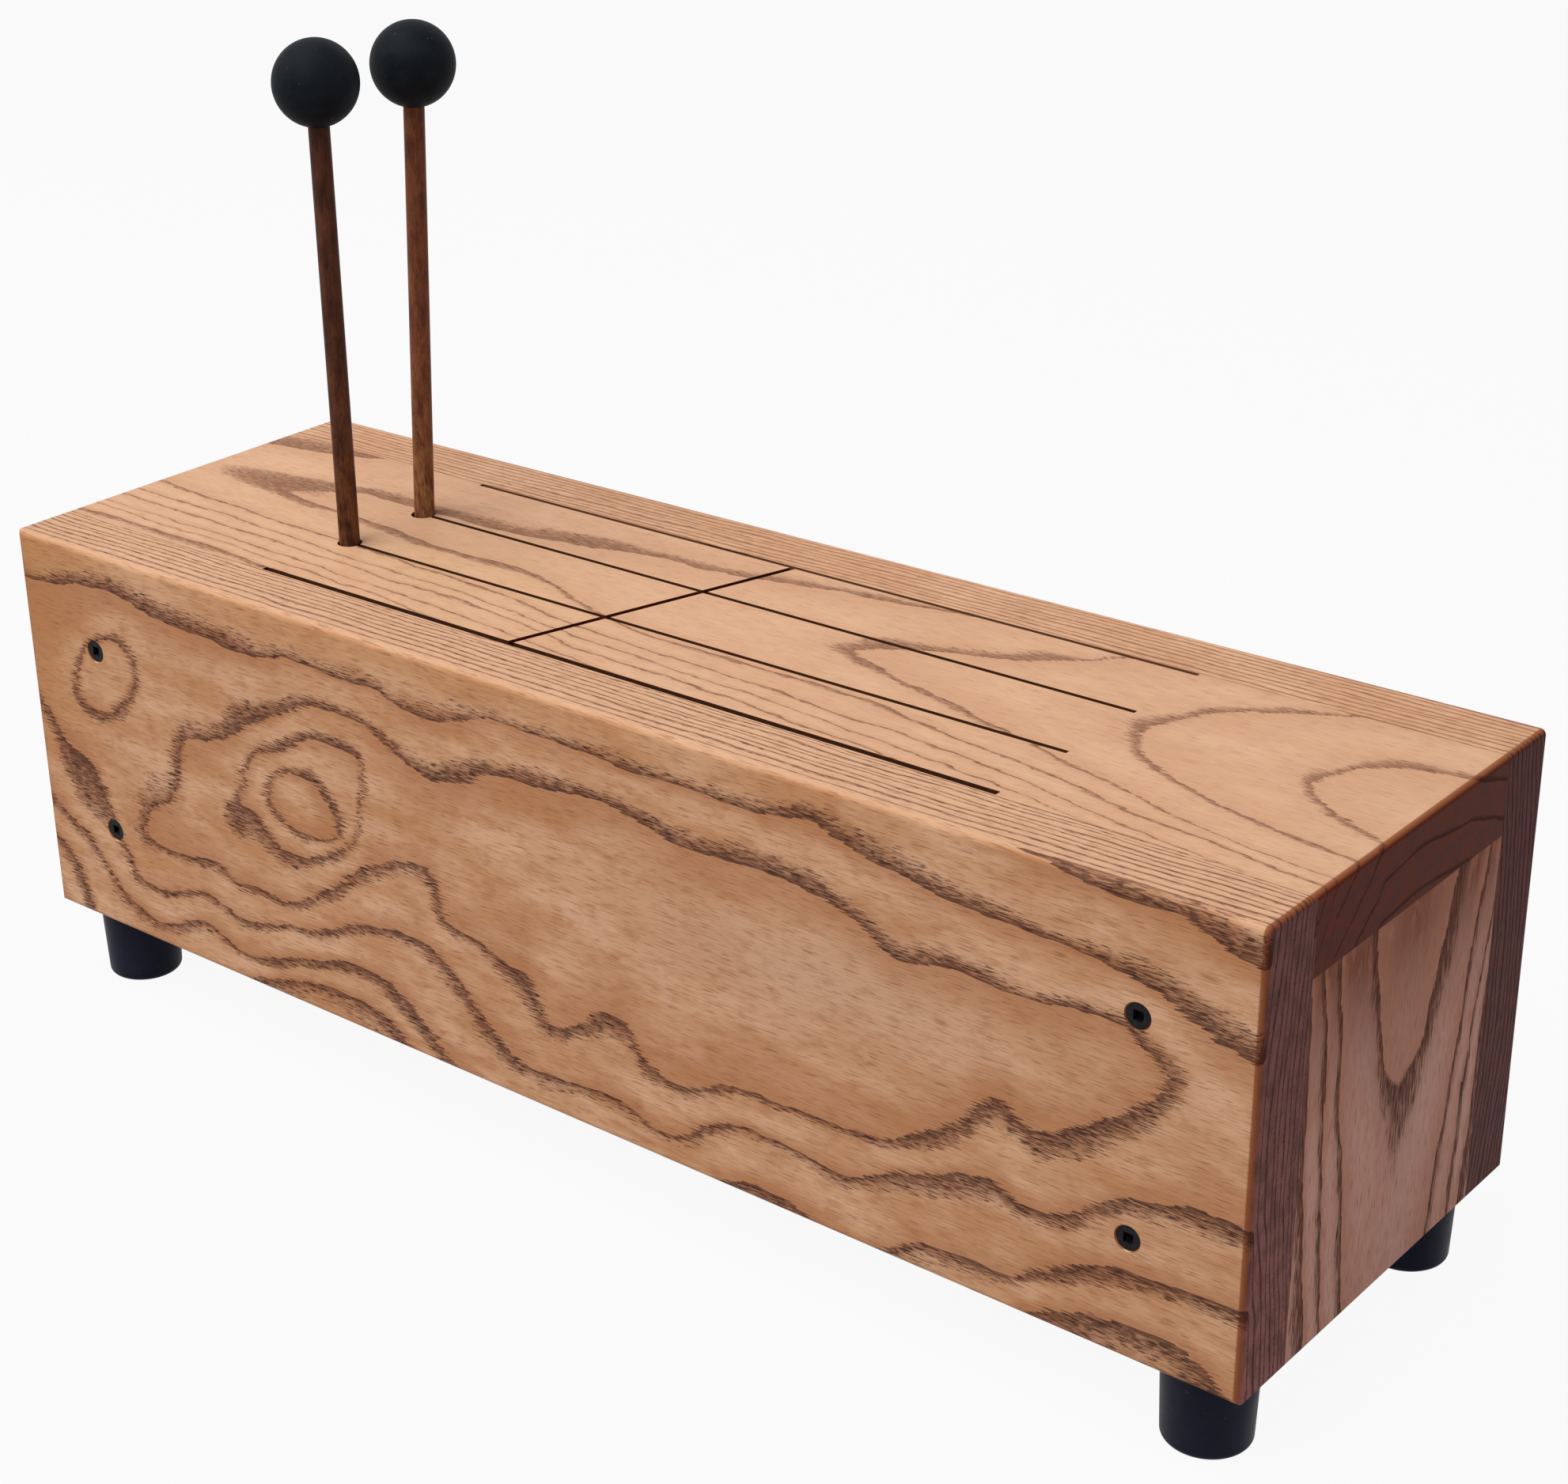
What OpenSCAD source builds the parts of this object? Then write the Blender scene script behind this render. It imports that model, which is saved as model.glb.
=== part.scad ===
// Six-tongue log drum: a glued hardwood box with a sawn top, on four rubber
// feet, with two rubber-headed mallets standing in holes in the top.
// X runs to the right along the box and Y to the back. The origin is on the
// surface that the feet stand on, under the middle of the box.

/* [Box] */
// Length of the box, left to right
box_length = 521; // [480:1:560]
// Depth of the box, front to back
box_depth = 165; // [155:1:180]
// Height of the box without its feet
box_height = 152.5; // [140:0.5:170]
// Thickness of every board
board = 26; // [22:0.5:28]
// Radius on the upright corners and round the top
edge_radius = 2.2; // [1:0.1:5]
// Radius on the two long bottom edges
bottom_edge_radius = 2; // [0.5:0.1:3]
// Side of the square glue blocks that stand in the inner corners
block_side = 26; // [20:0.5:30]

/* [Tongues] */
// Reach of the long slots each way from the middle of the box
slot_reach = 156; // [120:1:170]
// Width of the saw kerf in the inner slots
saw_kerf = 1.9; // [1.2:0.1:2.5]
// Gap left between the front board and the front tongues
front_gap = 2.6; // [1:0.1:4]
// Gap left between the back board and the rear tongues
rear_gap = 1.8; // [1:0.1:4]
// Width of the slanted cross cut
cross_cut_width = 2.4; // [1.2:0.1:3.5]
// Where the cross cut passes the middle line of the top
cross_cut_x = -22; // [-60:1:60]
// Turn of the cross cut from square across the grain, in degrees
cross_cut_angle = 16.6; // [0:0.1:20]

/* [Mallets] */
// Where the two mallet holes are along the box
mallet_hole_x = -150.3; // [-152:0.1:-120]
// Diameter of the mallet holes
mallet_hole_d = 9; // [8.6:0.1:12]
// Diameter of a mallet stick
stick_d = 7.5; // [6:0.1:7.9]
// Diameter of a mallet ball
ball_d = 30; // [24:0.5:34]
// Whole length of a mallet
mallet_length = 306; // [240:1:360]
// Depth of the hole in the ball that the stick is glued into
ball_socket = 20; // [12:0.5:22]
// How far the rear mallet leans over in its loose hole, in degrees
rear_lean = 2; // [0:0.1:2]
// Which way it leans, counted from the right towards the back, in degrees
rear_lean_heading = 40.7; // [0:0.1:90]

/* [Screws] */
// Distance of the side screws from the ends of the box
side_screw_inset = 38.5; // [34:0.5:42]
// Height of the lower side screws above the bottom of the box
lower_screw_z = 41; // [34:0.5:60]
// Height of the upper side screws above the bottom of the box
upper_screw_z = 113.4; // [90:0.1:118]
// Length of a side screw
side_screw_length = 45; // [38:1:48]
// Diameter of the heads of the side screws
side_head_d = 8.2; // [7.5:0.1:9]
// Diameter of a countersink where it meets the face
countersink_d = 8.9; // [8.5:0.1:9.4]
// Diameter of all the screw shanks
shank_d = 4.2; // [3.8:0.1:4.8]
// Side of the square drive in the heads
drive_side = 3.4; // [2.8:0.1:3.8]
// Length of a foot screw under its head
foot_screw_length = 38; // [30:1:40]
// Diameter of the head of a foot screw
foot_head_d = 8; // [7:0.1:9]

/* [Feet] */
// Diameter of a foot at the top
foot_top_d = 30; // [24:0.5:36]
// Diameter of a foot at the bottom
foot_bottom_d = 28; // [22:0.5:30]
// Height of a foot
foot_height = 31; // [24:0.5:34]
// Distance of the middle of a foot from both outer faces of the box
foot_inset = 21; // [19:0.5:21.5]
// Radius on the bottom edge of a foot
foot_edge_radius = 2; // [1:0.1:3]
// Diameter of the recess in a foot that takes the screw head
foot_recess_d = 15; // [14.6:0.1:18]
// Depth of that recess
foot_recess_depth = 18; // [12:0.5:20]
// Diameter of a washer
washer_d = 14; // [12:0.1:14.4]
// Thickness of a washer
washer_thickness = 1.2; // [0.8:0.1:2]

/* [Hidden] */
$fn = 64;
// Signs for the four corners
left = -1;
right = 1;
front = -1;
back = 1;
// Heights of the box and of its inside
box_bottom = foot_height;
box_top = box_bottom + box_height;
inside_bottom = box_bottom + board;
inside_top = box_top - board;
// Half sizes of the box and of its inside
half_length = box_length / 2;
half_depth = box_depth / 2;
half_inside_length = half_length - board;
half_inside_depth = half_depth - board;
// The top is sawn into three rows of tongues
row_pitch = 2 * half_inside_depth / 3;
// How far a cutting shape runs past the face that it cuts
overrun = 1;
// Side screws have 82 degree heads, so a head narrows by this per millimetre
head_slope = tan(41);
side_head_depth = (countersink_d - side_head_d) / 2 / head_slope;
side_head_height = (side_head_d - shank_d) / 2 / head_slope;
drive_depth = 2.4;
screw_tip = 5;
// Bores that a shank passes through freely
clearance_d = shank_d + 0.4;
// Depth of the pilot holes past the end of a screw
pilot_rest = 1;
foot_head_height = 3;
foot_x = half_length - foot_inset;
foot_y = half_depth - foot_inset;
side_screw_x = half_length - side_screw_inset;
// The mallets stop this far above the inside of the bottom board
stick_end_gap = 0.1;
stick_chamfer = 0.8;
stick_length = mallet_length - ball_d + ball_socket;
hole_middle_z = box_top - board / 2;
// Colours as the photograph shows them
ash_front = [0.74, 0.51, 0.33];
ash_back = [0.70, 0.47, 0.31];
ash_top = [0.80, 0.60, 0.43];
ash_end = [0.52, 0.36, 0.29];
ash_inside = [0.78, 0.62, 0.45];
block_wood = [0.80, 0.68, 0.50];
stick_brown = [0.36, 0.21, 0.11];
ball_black = [0.10, 0.11, 0.12];
foot_black = [0.08, 0.08, 0.10];
screw_black = [0.13, 0.12, 0.14];
zinc = [0.66, 0.67, 0.68];

// A rectangle from its lower left corner, with one radius on its lower corners and
// another on its upper corners
module rounded_rectangle(w, h, lower_r, upper_r) {
    translate([0, lower_r]) square([w, h - lower_r - upper_r]);
    translate([lower_r, 0]) square([w - 2 * lower_r, lower_r]);
    translate([upper_r, h - upper_r]) square([w - 2 * upper_r, upper_r]);
    for (x = [lower_r, w - lower_r]) {
        translate([x, lower_r]) circle(r = lower_r);
    }
    for (x = [upper_r, w - upper_r]) {
        translate([x, h - upper_r]) circle(r = upper_r);
    }
}

// Ends of the box seen from the right: rounded above and below
module end_outline() {
    rounded_rectangle(box_depth, box_height, bottom_edge_radius, edge_radius);
}

// The box seen from above: all four corners rounded
module plan_outline() {
    rounded_rectangle(box_length, box_depth, edge_radius, edge_radius);
}

// Cuts the rounding off the top edges at the two ends of the box
module end_edge_cutter() {
    for (end = [left, right]) {
        translate([end * half_length, 0, box_top])
            difference() {
                cube([2 * edge_radius, box_depth + 2 * overrun, 2 * edge_radius], center = true);
                translate([-end * edge_radius, 0, -edge_radius])
                    rotate([90, 0, 0])
                        cylinder(r = edge_radius, h = box_depth + 4 * overrun, center = true);
            }
    }
}

// Cuts the four top corners to parts of a ball that meet the rounded edges
module top_corner_cutter() {
    for (end = [left, right]) {
        for (side = [front, back]) {
            translate([end * (half_length - edge_radius), side * (half_depth - edge_radius),
                       box_top - edge_radius])
                difference() {
                    translate([end * edge_radius, side * edge_radius, edge_radius])
                        cube(2 * edge_radius, center = true);
                    sphere(r = edge_radius);
                }
        }
    }
}

// The outside of the glued and rounded box, before it is parted into boards
module box_blank() {
    difference() {
        intersection() {
            translate([-half_length - overrun, -half_depth, box_bottom])
                rotate([90, 0, 90])
                    linear_extrude(box_length + 2 * overrun)
                        end_outline();
            translate([-half_length, -half_depth, box_bottom - overrun])
                linear_extrude(box_height + 2 * overrun)
                    plan_outline();
        }
        end_edge_cutter();
        top_corner_cutter();
    }
}

// Places a child at each side screw of one long side, with +Z pointing into the wood
module at_side_screws(side) {
    for (end = [left, right]) {
        for (z = [lower_screw_z, upper_screw_z]) {
            translate([end * side_screw_x, side * half_depth, box_bottom + z])
                rotate([side * 90, 0, 0])
                    children();
        }
    }
}

// Places a child at each foot, with +Z pointing up
module at_feet() {
    for (end = [left, right]) {
        for (side = [front, back]) {
            translate([end * foot_x, side * foot_y, 0]) children();
        }
    }
}

// Countersunk hole that a side screw passes through
module countersunk_hole() {
    cylinder(d1 = countersink_d, d2 = 0, h = countersink_d / 2 / head_slope);
    translate([0, 0, -overrun]) cylinder(d = countersink_d, h = overrun);
    translate([0, 0, -overrun]) cylinder(d = clearance_d, h = board + 2 * overrun);
}

// Hole that the thread of a side screw bites into
module side_pilot_hole() {
    cylinder(d = shank_d, h = side_screw_length + side_head_depth + pilot_rest);
}

// Hole that the thread of a foot screw bites into
module foot_pilot_hole() {
    screw_top = foot_recess_depth - washer_thickness + foot_screw_length;
    cylinder(d = shank_d, h = screw_top + pilot_rest);
}

// Front and back of the box: boards of its full length and height
module long_board(side, shade) {
    color(shade)
        difference() {
            intersection() {
                box_blank();
                translate([-half_length, side > 0 ? half_inside_depth : -half_depth, box_bottom])
                    cube([box_length, board, box_height]);
            }
            at_side_screws(side) countersunk_hole();
            at_feet() foot_pilot_hole();
        }
}

// One mallet hole, drilled through the top at the left end of an inner slot
module mallet_hole(side) {
    translate([mallet_hole_x, side * row_pitch / 2, inside_top - overrun])
        cylinder(d = mallet_hole_d, h = board + 2 * overrun);
}

// The four long slots and the two mallet holes
module slots_and_holes() {
    cut_height = board + 2 * overrun;
    // The edges of the top are cut back beside the front and back boards
    translate([-slot_reach, -half_inside_depth - overrun, inside_top - overrun])
        cube([2 * slot_reach, front_gap + overrun, cut_height]);
    translate([-slot_reach, half_inside_depth - rear_gap, inside_top - overrun])
        cube([2 * slot_reach, rear_gap + overrun, cut_height]);
    // Each inner slot starts from its mallet hole
    for (side = [front, back]) {
        mallet_hole(side);
        translate([mallet_hole_x, side * row_pitch / 2 - saw_kerf / 2, inside_top - overrun])
            cube([slot_reach - mallet_hole_x, saw_kerf, cut_height]);
    }
}

// All that lies to one side of the slanted cross cut
module beside_cross_cut(end) {
    near_x = end > 0 ? cross_cut_width / 2 : -cross_cut_width / 2 - box_length;
    translate([cross_cut_x, 0, inside_top - overrun])
        rotate([0, 0, -cross_cut_angle])
            translate([near_x, -box_length / 2, 0])
                cube([box_length, box_length, board + 2 * overrun]);
}

// One half of the sounding board: three tongues that end free at the cross cut. The cut
// meets the gaps along both edges, so it parts the glued top into a left and a right piece
module tongue_board(end) {
    color(ash_top)
        difference() {
            intersection() {
                box_blank();
                translate([-half_length, -half_inside_depth, inside_top])
                    cube([box_length, 2 * half_inside_depth, board]);
                beside_cross_cut(end);
            }
            slots_and_holes();
        }
}

// End of the box, under the top board, with its grain upright
module end_panel(end) {
    color(ash_end)
        translate([end > 0 ? half_inside_length : -half_length, -half_inside_depth, box_bottom])
            cube([board, 2 * half_inside_depth, box_height - board]);
}

// The floor of the box, let in between the four sides
module bottom_board() {
    color(ash_inside)
        translate([-half_inside_length, -half_inside_depth, box_bottom])
            cube([2 * half_inside_length, 2 * half_inside_depth, board]);
}

// Glue block in an inner corner, which the side screws bite into
module corner_block(end, side) {
    block_x = end > 0 ? half_inside_length - block_side : -half_inside_length;
    block_y = side > 0 ? half_inside_depth - block_side : -half_inside_depth;
    color(block_wood)
        difference() {
            translate([block_x, block_y, inside_bottom])
                cube([block_side, block_side, inside_top - inside_bottom]);
            at_side_screws(side) side_pilot_hole();
        }
}

// Flat-headed wood screw with a square drive, its head at the bottom and +Z to the tip
module side_screw() {
    translate([0, 0, side_head_depth])
        difference() {
            union() {
                cylinder(d1 = side_head_d, d2 = shank_d, h = side_head_height);
                cylinder(d = shank_d, h = side_screw_length - screw_tip);
                translate([0, 0, side_screw_length - screw_tip])
                    cylinder(d1 = shank_d, d2 = 0, h = screw_tip);
            }
            translate([-drive_side / 2, -drive_side / 2, -overrun])
                cube([drive_side, drive_side, drive_depth + overrun]);
        }
}

// The four screws of one long side
module side_screws(side) {
    color(screw_black) at_side_screws(side) side_screw();
}

// Half outline of a foot, from its axis outwards
module foot_outline() {
    bottom_r = foot_bottom_d / 2;
    top_r = foot_top_d / 2;
    square([bottom_r - foot_edge_radius, foot_height]);
    translate([bottom_r - foot_edge_radius, foot_edge_radius]) circle(r = foot_edge_radius);
    polygon([
        [bottom_r - foot_edge_radius, foot_edge_radius],
        [bottom_r, foot_edge_radius],
        [top_r, foot_height],
        [bottom_r - foot_edge_radius, foot_height]
    ]);
}

// Tapered rubber foot with a recess below for its screw and washer
module foot(end, side) {
    color(foot_black)
        translate([end * foot_x, side * foot_y, 0])
            difference() {
                rotate_extrude() foot_outline();
                translate([0, 0, -overrun])
                    cylinder(d = foot_recess_d, h = foot_recess_depth + overrun);
                cylinder(d = clearance_d, h = foot_height + overrun);
            }
}

// Round-headed screw through a foot, from its washer up into the board above
module foot_screw() {
    translate([0, 0, foot_recess_depth - washer_thickness])
        difference() {
            union() {
                translate([0, 0, -foot_head_height])
                    cylinder(d1 = foot_head_d - 2, d2 = foot_head_d, h = foot_head_height);
                cylinder(d = shank_d, h = foot_screw_length - screw_tip);
                translate([0, 0, foot_screw_length - screw_tip])
                    cylinder(d1 = shank_d, d2 = 0, h = screw_tip);
            }
            translate([-drive_side / 2, -drive_side / 2, -foot_head_height - overrun])
                cube([drive_side, drive_side, drive_depth + overrun]);
        }
}

module foot_screws() {
    color(zinc) at_feet() foot_screw();
}

// Steel washers that spread the screw heads' load on the rubber
module foot_washers() {
    color(zinc)
        at_feet()
            translate([0, 0, foot_recess_depth - washer_thickness])
                difference() {
                    cylinder(d = washer_d, h = washer_thickness);
                    translate([0, 0, -overrun])
                        cylinder(d = clearance_d, h = washer_thickness + 2 * overrun);
                }
}

// Places a mallet in its hole, with the foot of its stick at the origin and +Z along it
module in_mallet_hole(side, lean) {
    foot_below = hole_middle_z - inside_bottom - stick_end_gap - stick_d / 2 * sin(lean);
    translate([mallet_hole_x, side * row_pitch / 2, hole_middle_z])
        rotate([0, lean, rear_lean_heading])
            translate([0, 0, -foot_below / cos(lean)])
                children();
}

// Turned dowel with its lower edge broken
module mallet_stick() {
    color(stick_brown) {
        cylinder(d1 = stick_d - 2 * stick_chamfer, d2 = stick_d, h = stick_chamfer);
        translate([0, 0, stick_chamfer])
            cylinder(d = stick_d, h = stick_length - stick_chamfer);
    }
}

// Rubber ball, drilled to take the end of the stick
module mallet_ball() {
    color(ball_black)
        difference() {
            translate([0, 0, mallet_length - ball_d / 2]) sphere(d = ball_d);
            translate([0, 0, mallet_length - ball_d - overrun])
                cylinder(d = stick_d, h = ball_socket + overrun);
        }
}

long_board(front, ash_front);  // front_board
long_board(back, ash_back);  // back_board
tongue_board(left);  // left_tongue_board
tongue_board(right);  // right_tongue_board
end_panel(left);  // left_end_panel
end_panel(right);  // right_end_panel
bottom_board();
corner_block(left, front);  // front_left_block
corner_block(right, front);  // front_right_block
corner_block(left, back);  // back_left_block
corner_block(right, back);  // back_right_block
side_screws(front);  // front_screws
side_screws(back);  // back_screws
foot(left, front);  // front_left_foot
foot(right, front);  // front_right_foot
foot(left, back);  // back_left_foot
foot(right, back);  // back_right_foot
foot_screws();
foot_washers();
in_mallet_hole(front, 0) mallet_stick();  // front_mallet_stick
in_mallet_hole(front, 0) mallet_ball();  // front_mallet_ball
in_mallet_hole(back, rear_lean) mallet_stick();  // rear_mallet_stick
in_mallet_hole(back, rear_lean) mallet_ball();  // rear_mallet_ball
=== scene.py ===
import math

import bpy
from mathutils import Matrix, Vector

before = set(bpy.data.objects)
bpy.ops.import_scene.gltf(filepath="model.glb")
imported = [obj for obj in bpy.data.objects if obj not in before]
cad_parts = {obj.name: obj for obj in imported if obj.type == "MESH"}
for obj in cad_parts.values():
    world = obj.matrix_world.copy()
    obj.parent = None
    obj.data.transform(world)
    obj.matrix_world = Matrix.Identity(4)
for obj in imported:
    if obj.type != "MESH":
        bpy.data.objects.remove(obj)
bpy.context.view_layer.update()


# Front board
#
# The face of the drum is one flat-sawn ash board, 26 mm thick, stained and oiled.
# It is glued to the edges of the other boards and held near each end by two screws.

BOX_LEFT = -260.5
BOX_LONG = 521.0
BOX_TOP = 183.5
BOX_HIGH = 152.5
BOX_BACK = 82.5
BOX_DEEP = 165.0
LINE_ROOM = 80.0
LINE_SPAN = 340.0

TAN = (0.67, 0.338, 0.166)
PALE_TAN = (0.86, 0.520, 0.318)
WARM_TAN = (0.53, 0.225, 0.100)
PORE_BROWN = (0.074, 0.031, 0.025)
# Lighter pores for faces that point up, under their painted sheen.
SHEEN_TOP_PORE_BROWN = (0.150, 0.070, 0.042)
STREAK_BROWN = (0.33, 0.126, 0.066)
END_GRAIN_BROWN = (0.27, 0.096, 0.078)
# Lighter end grain lower down: painted light.
LIT_LOW_END_GRAIN_BROWN = (0.42, 0.155, 0.130)
# Painted orange highlight for rounded edges beside end grain.
EDGE_GLOW_ORANGE = (0.33, 0.094, 0.032)
END_RING_BROWN = (0.060, 0.020, 0.015)
# Slot walls and inside faces: a darker stain with painted shade.
WALL_STAIN_AND_SHADE_BROWN = (0.080, 0.030, 0.014)
# Paler colour for faces that point up: a painted sheen.
TOP_SHEEN_PALE = (0.76, 0.466, 0.302)

FRONT_TOP_RINGS = [
    (-1, [(-260, -30), (100, -30), (260, -14)]),
    (-0.28, [(-260, -14), (120, -14), (160, -9), (188, -4), (232, 0), (240, 1), (260, 4)]),
    (0, [(-260, -8), (120, -8), (160, -4), (188, 2), (215, 5), (232, 4), (245, 10), (260, 13)]),
    (0.72, [(-260, 16), (-245, 15), (-235, 12), (-222, 9.5), (-200, 10), (-178, 12), (-160, 14),
            (-148, 14), (-130, 16), (-115, 15), (-95, 15), (-80, 13), (-72, 15), (-66, 18),
            (-48, 18), (-38, 15), (-28, 14), (-10, 12.5), (20, 13), (50, 13), (85, 13.5),
            (100, 10), (108, 8), (120, 11), (140, 15), (160, 18), (185, 22), (210, 23),
            (228, 24), (243, 29), (260, 33)]),
    (1, [(-260, 18), (-245, 18.5), (-235, 17), (-222, 14), (-200, 14.5), (-190, 17), (-178, 19),
         (-160, 20), (-145, 20), (-130, 18.5), (-115, 16.5), (-95, 17.5), (-75, 17), (-68, 20),
         (-60, 21.5), (-48, 21), (-38, 18), (-28, 15), (-10, 13.5), (20, 15), (50, 15),
         (85, 16), (100, 14), (108, 13), (120, 17), (140, 21), (160, 24), (185, 25), (210, 26),
         (228, 31), (243, 38), (260, 42)]),
    (1.72, [(-260, 160), (-225, 132), (-212, 120), (-208, 106), (-204, 96), (-198, 91),
            (-189, 87), (-185, 80), (-183.5, 68), (-181, 61), (-175, 59), (-165, 56),
            (-155, 52), (-150, 44), (-142, 40), (-135, 37), (-125, 34), (-115, 30), (-105, 28),
            (-85, 29), (-75, 31), (-68, 34), (-60, 37), (-50, 38), (-42, 36), (-33, 33),
            (-20, 29), (0, 27), (20, 26), (45, 29), (60, 31), (80, 29), (100, 29), (115, 32),
            (128, 38), (140, 43), (160, 41), (185, 43), (212, 41), (230, 47), (240, 58),
            (250, 76), (260, 82)]),
    (2, [(-260, 165), (-225, 140), (-208, 125), (-205, 112), (-201, 99), (-195, 94),
         (-186, 90.5), (-181, 84), (-178.5, 68), (-176, 62.5), (-165, 60), (-155, 57),
         (-148, 54), (-142, 50), (-135, 46), (-125, 40), (-115, 35), (-105, 31), (-85, 31),
         (-75, 34), (-68, 38), (-60, 42), (-50, 44.5), (-42, 43), (-33, 40), (-28, 36),
         (-20, 34), (0, 33), (20, 30), (45, 34), (60, 37), (80, 35), (115, 38), (128, 43),
         (140, 48), (160, 46), (185, 45), (212, 43.5), (227, 50), (235, 61), (244, 78),
         (260, 88)]),
    (3, [(-260, 175), (-180, 140), (-156, 100), (-149, 80), (-146, 70), (-141, 62), (-134, 56),
         (-122, 51), (-112, 46), (-104, 43.5), (-86, 44.5), (-83.5, 48), (-81, 66), (-77, 90),
         (-60, 104), (0, 110), (100, 100), (180, 100), (260, 110)]),
    (4, [(-260, 200), (-170, 160), (-142, 100), (-133, 72), (-123, 61), (-112, 60), (-103, 66),
         (-96, 80), (-85, 100), (-60, 130), (260, 130)]),
    (5, [(-260, 240), (260, 240)]),
]
FRONT_BOTTOM_RINGS = [
    (-2, [(-260, 144), (-250, 162), (-230, 200), (260, 200)]),
    (-1.28, [(-260, 126), (-252, 134), (-247, 146), (-244, 160), (-220, 174), (-190, 166),
             (-170, 158), (-150, 153), (-135, 150), (-120, 146), (-105, 144), (-90, 146),
             (-80, 151), (-70, 158), (-40, 178), (60, 186), (165, 178), (185, 160), (195, 156), (205, 152),
             (215, 149), (235, 148), (245, 153), (260, 164)]),
    (-1, [(-260, 121), (-250, 128), (-243, 136), (-240, 146), (-238, 160), (-220, 167),
          (-190, 160), (-170, 154), (-150, 150), (-135, 146), (-120, 142), (-105, 139.5),
          (-90, 140), (-80, 143), (-70, 149), (-62, 156), (-40, 172), (60, 180), (165, 170), (180, 155),
          (190, 149), (202, 144), (215, 140), (235, 137.5), (245, 141), (255, 148), (260, 153)]),
    (-0.28, [(-260, 109), (-250, 115), (-240, 120), (-232, 127), (-225, 137), (-215, 143),
             (-200, 144.5), (-190, 143.5), (-180, 140), (-172, 138), (-162, 140.5),
             (-150, 143), (-140, 142), (-125, 138), (-110, 134), (-97, 132), (-85, 132),
             (-75, 137), (-65, 144), (-57, 150), (-50, 156), (-30, 166), (55, 170),
             (68, 158), (80, 154), (95, 152), (110, 156), (122, 162), (132, 158), (140, 151), (150, 146), (165, 144), (180, 144),
             (190, 140), (200, 136), (215, 130), (240, 126), (260, 125)]),
    (0, [(-260, 104), (-250, 112), (-240, 116), (-232, 123), (-225, 132), (-215, 140),
         (-200, 143), (-190, 141), (-180, 137), (-172, 135.5), (-162, 138), (-150, 140),
         (-140, 138), (-125, 133.5), (-110, 129.5), (-97, 126.5), (-85, 126), (-75, 128),
         (-65, 134), (-57, 141), (-50, 148), (-30, 160), (0, 165), (55, 164), (64, 155), (72, 150),
         (90, 146.5), (105, 149), (115, 154), (122, 156), (130, 152), (140, 147), (150, 142), (165, 141), (180, 141), (190, 135), (200, 129),
         (215, 124), (240, 121), (260, 119.5)]),
    (0.72, [(-260, 67), (-252, 80), (-246, 98), (-238, 106), (-228, 110), (-219, 118),
            (-210, 131), (-200, 131), (-190, 129.5), (-180, 126.5), (-172, 124.5), (-162, 126),
            (-150, 128.5), (-140, 127), (-125, 122.5), (-110, 120), (-97, 115.5), (-85, 111.5),
            (-70, 109), (-60, 110), (-50, 116), (-42, 123), (-35, 131), (-28, 136), (-18, 142),
            (-10, 142), (25, 138), (35, 140), (45, 144), (55, 142), (70, 133.5), (85, 129),
            (105, 129.5), (120, 132), (135, 128), (150, 124), (165, 119), (175, 116),
            (185, 118), (200, 117), (215, 107), (230, 101), (245, 98), (260, 99)]),
    (1, [(-260, 62), (-250, 73), (-243, 79), (-233, 83), (-226, 92), (-219, 111), (-214, 120),
         (-208, 129), (-200, 129), (-190, 127.5), (-180, 124), (-172, 122.5), (-162, 124),
         (-150, 126), (-140, 124), (-125, 120.5), (-110, 117.5), (-97, 112), (-85, 107.5),
         (-70, 105), (-60, 106), (-50, 110.5), (-42, 116), (-35, 123), (-28, 129), (-18, 136),
         (-10, 139), (25, 136), (35, 138), (45, 142), (55, 139), (70, 130), (85, 127),
         (105, 127), (120, 129), (135, 123), (150, 117), (165, 111), (175, 109), (185, 114),
         (200, 111), (215, 101), (230, 95), (245, 92), (260, 93)]),
    (1.72, [(-260, 48), (-230, 68), (-216, 98), (-205, 111), (-180, 111.5), (-163, 110),
            (-158, 113.5), (-150, 115.5), (-140, 115), (-118, 112), (-110, 107), (-102, 104),
            (-95, 98), (-88, 93), (-80, 88), (-70, 82), (-60, 79), (-55, 81), (-53, 92),
            (-48, 98), (-30, 101), (-22, 106), (-12, 112), (-8, 121), (0, 124), (8, 121),
            (15, 117), (25, 112), (33, 113), (38, 120), (42, 123), (55, 124), (65, 121),
            (80, 116), (105, 114.5), (130, 114), (145, 110), (155, 107), (165, 100), (172, 92),
            (178, 88), (184, 91), (190, 95), (200, 92), (212, 85), (222, 76), (232, 67),
            (240, 54), (260, 36)]),
    (2, [(-260, 40), (-230, 60), (-212, 92), (-203, 107), (-190, 109), (-180, 109), (-170, 107),
         (-162, 107), (-158, 111), (-150, 113), (-140, 112.5), (-125, 111), (-118, 108),
         (-110, 103), (-102, 98), (-95, 92), (-88, 87), (-80, 83), (-70, 79), (-60, 76.5),
         (-52, 76.5), (-49.5, 84), (-48, 93), (-42, 95), (-30, 97), (-22, 100), (-10, 102),
         (-6, 110), (-2, 118), (2, 119), (8, 116), (15, 111), (25, 105), (33, 106), (37, 113),
         (42, 118), (55, 121), (65, 118), (80, 113), (105, 112), (130, 111), (145, 105),
         (155, 99), (165, 91), (172, 83), (178, 80), (184, 86), (190, 88), (200, 82),
         (212, 74), (222, 67), (230, 60), (236, 48), (260, 26)]),
    (3, [(-260, 20), (-170, 60), (-148, 78), (-140, 80), (-134, 86), (-126, 91), (-118, 91),
         (-108, 87), (-98, 83), (-91, 78), (-88, 70), (-85, 55), (-83, 45), (-78, 30),
         (260, 20)]),
    (4, [(-260, 0), (-150, 40), (-131, 74), (-118, 82), (-100, 79), (-91, 60), (-80, 20),
         (260, 0)]),
    (5, [(-260, -60), (260, -60)]),
]
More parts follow.
